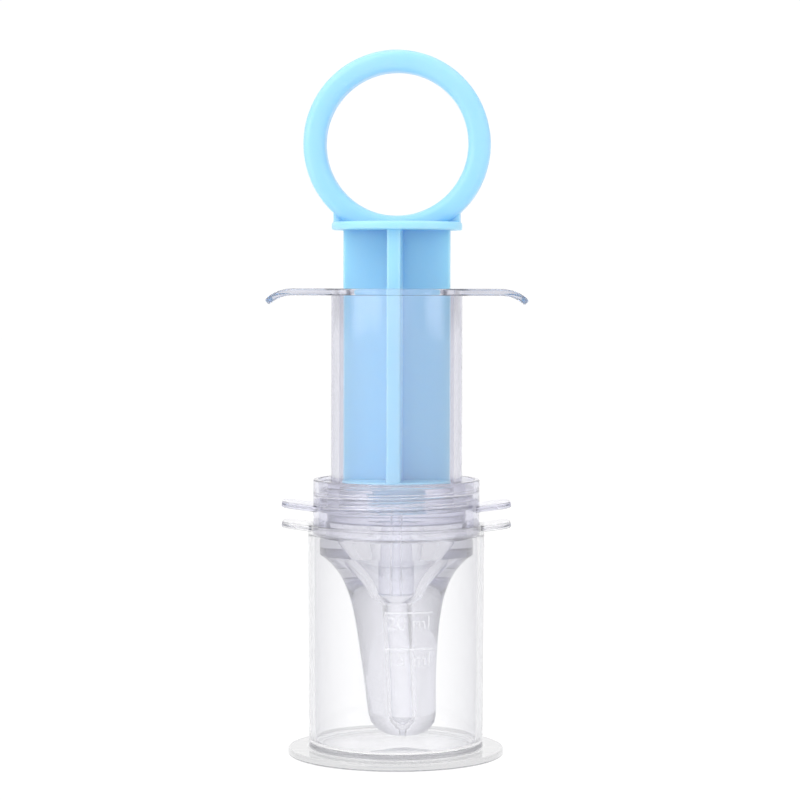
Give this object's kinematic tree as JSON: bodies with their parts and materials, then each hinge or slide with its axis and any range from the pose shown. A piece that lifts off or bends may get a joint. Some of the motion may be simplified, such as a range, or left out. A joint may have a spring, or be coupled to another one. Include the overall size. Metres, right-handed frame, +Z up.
{
  "type": "infant oral medicine syringe",
  "caption": "Infant oral medicine syringe: ring-handled plunger, clear barrel, screw ring holding a soft teat, and a footed cup cap that it stands in.",
  "frame": {"origin": "centre of the underside of the cap's round foot", "axes": "+Z up along the syringe's axis, X along the finger flange and the ears"},
  "size_m": [0.0502, 0.041, 0.1333],
  "materials": {
    "cap_clear": "clear, glossy",
    "ring_clear": "clear, glossy",
    "barrel_clear": "clear, glossy",
    "teat_silicone": "clear soft silicone",
    "piston_silicone": "clear soft silicone",
    "plunger_blue": "light blue, satin gloss"
  },
  "bodies": {
    "cap": {"cap": "cap_clear"},
    "ring": {"screw_ring": "ring_clear"},
    "teat": {"teat": "teat_silicone"},
    "barrel": {"barrel": "barrel_clear"},
    "piston": {"piston": "piston_silicone"},
    "plunger": {"plunger": "plunger_blue"}
  },
  "joints": [
    {"name": "cap_pull_off", "type": "slide", "parent": "cap", "child": "ring", "axis": [0, 0, 1], "range_m": [0, 0.042]},
    {"name": "barrel_turn", "type": "hinge", "parent": "ring", "child": "teat", "pos_m": [0, 0, 0.0433], "axis": [0, 0, 1], "range_deg": [0, 1260]},
    {"name": "barrel_lift", "type": "slide", "parent": "teat", "child": "barrel", "axis": [0, 0, 1], "range_m": [0, 0.007]},
    {"name": "piston_slide", "type": "slide", "parent": "barrel", "child": "piston", "axis": [0, 0, 1], "range_m": [0, 0.044]},
    {"name": "plunger_turn", "type": "hinge", "parent": "piston", "child": "plunger", "pos_m": [0, 0, 0.0493], "axis": [0, 0, 1], "continuous": true}
  ],
  "couplings": [
    {"joint": "barrel_lift", "follows": "barrel_turn", "m_per_rad": 0.0003183}
  ]
}
